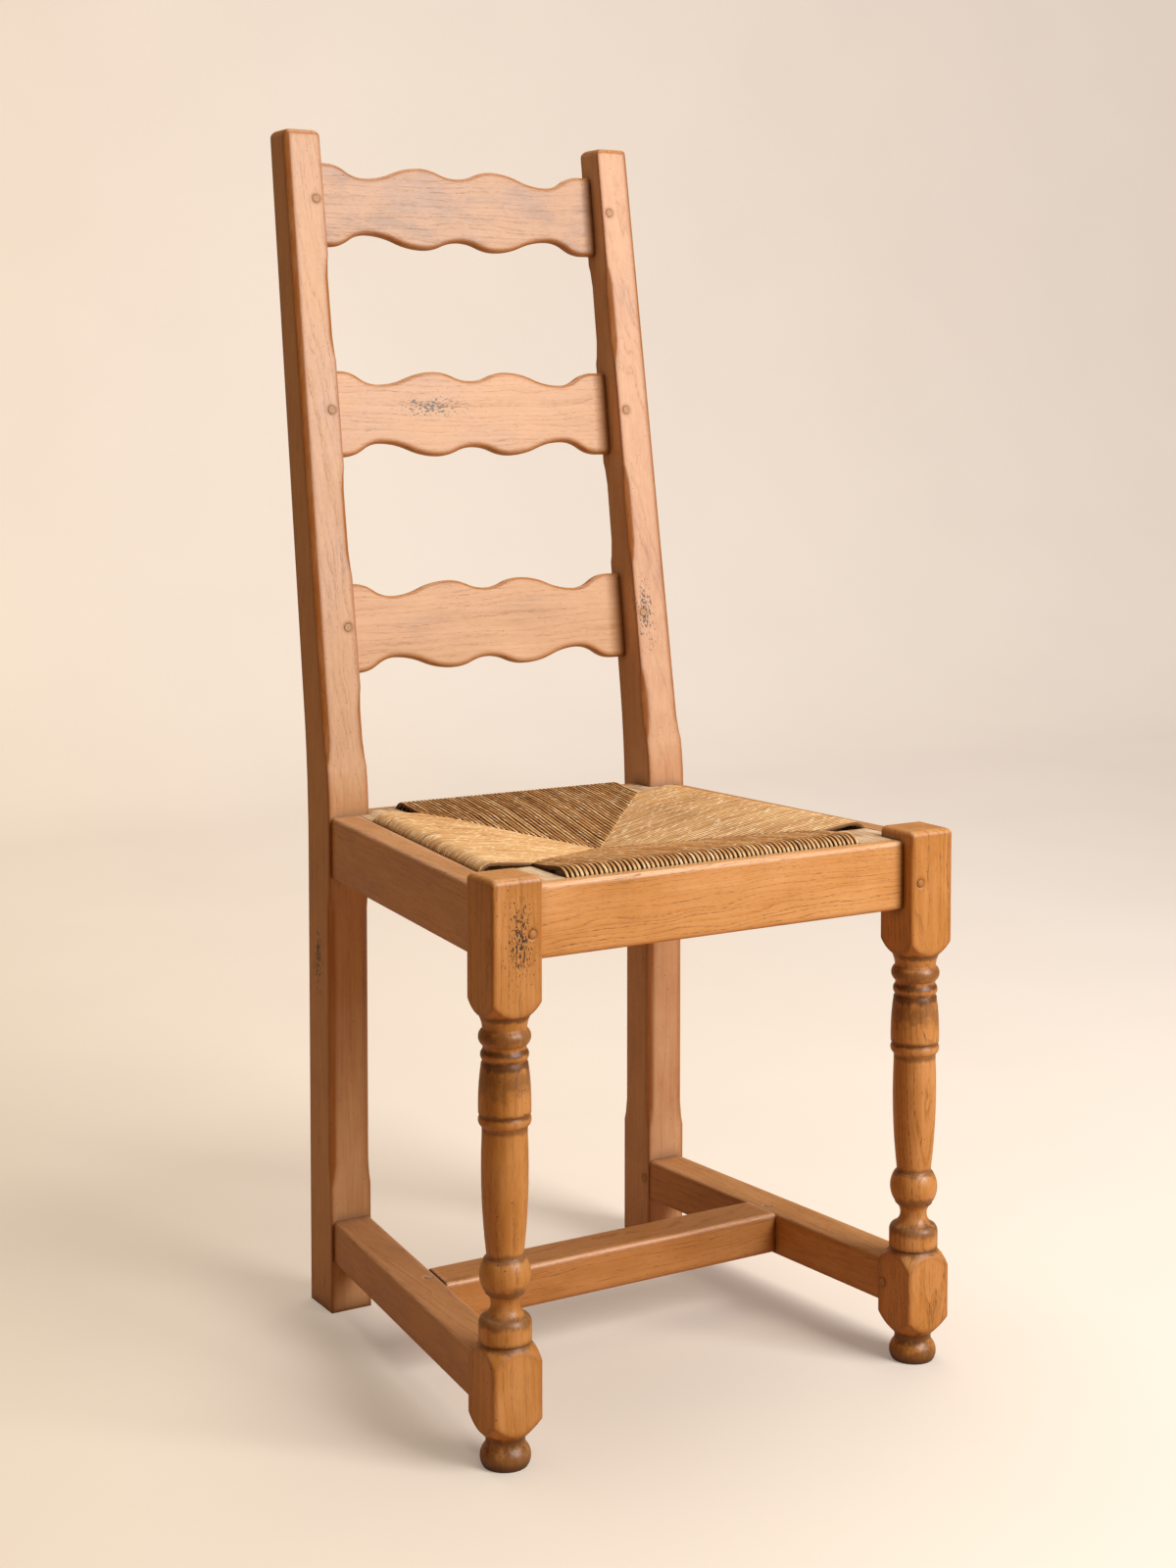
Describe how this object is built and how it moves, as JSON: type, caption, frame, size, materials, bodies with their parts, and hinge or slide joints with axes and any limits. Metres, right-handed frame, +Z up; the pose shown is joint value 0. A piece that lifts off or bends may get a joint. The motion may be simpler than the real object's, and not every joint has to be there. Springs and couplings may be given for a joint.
{
  "type": "ladderback dining chair",
  "caption": "Ladderback dining chair in oak with wavy slats, turned front legs, an H-shaped stretcher frame and a drop-in seat woven from rush.",
  "frame": {"origin": "on the floor, under the middle of the chair's overall width and depth", "axes": "+Z up, -Y out of the chair's front, +X to the right for someone who stands in front of it"},
  "size_m": [0.4622, 0.5172, 1.117],
  "materials": {
    "oak": "aged light oak under a worn satin wax",
    "oak_pegs": "darker end grain of turned pegs",
    "seat_frame_wood": "plain sawn wood, hidden under the rush",
    "rush": "twisted rush cord, matt with a slight sheen",
    "rush_offcuts": "loose dry rush",
    "nail_steel": "dull dark steel"
  },
  "bodies": {
    "frame": {"left_back_post": "oak", "right_back_post": "oak", "left_front_leg": "oak", "right_front_leg": "oak", "top_slat": "oak", "middle_slat": "oak", "lower_slat": "oak", "front_seat_rail": "oak", "back_seat_rail": "oak", "left_seat_rail": "oak", "right_seat_rail": "oak", "left_side_stretcher": "oak", "right_side_stretcher": "oak", "cross_stretcher": "oak", "slat_pegs": "oak_pegs", "front_rail_pegs": "oak_pegs", "side_stretcher_pegs": "oak_pegs", "cross_stretcher_pegs": "oak_pegs"},
    "drop_in_seat": {"seat_frame_front_bar": "seat_frame_wood", "seat_frame_back_bar": "seat_frame_wood", "seat_frame_left_bar": "seat_frame_wood", "seat_frame_right_bar": "seat_frame_wood", "front_left_corner_block": "oak", "front_right_corner_block": "oak", "back_left_corner_block": "oak", "back_right_corner_block": "oak", "rush_weave": "rush", "rush_stuffing": "rush_offcuts", "corner_block_nails": "nail_steel"}
  },
  "joints": [
    {"name": "seat_lift", "type": "slide", "parent": "frame", "child": "drop_in_seat", "axis": [0, 0, 1], "range_m": [0, 0.08]}
  ]
}
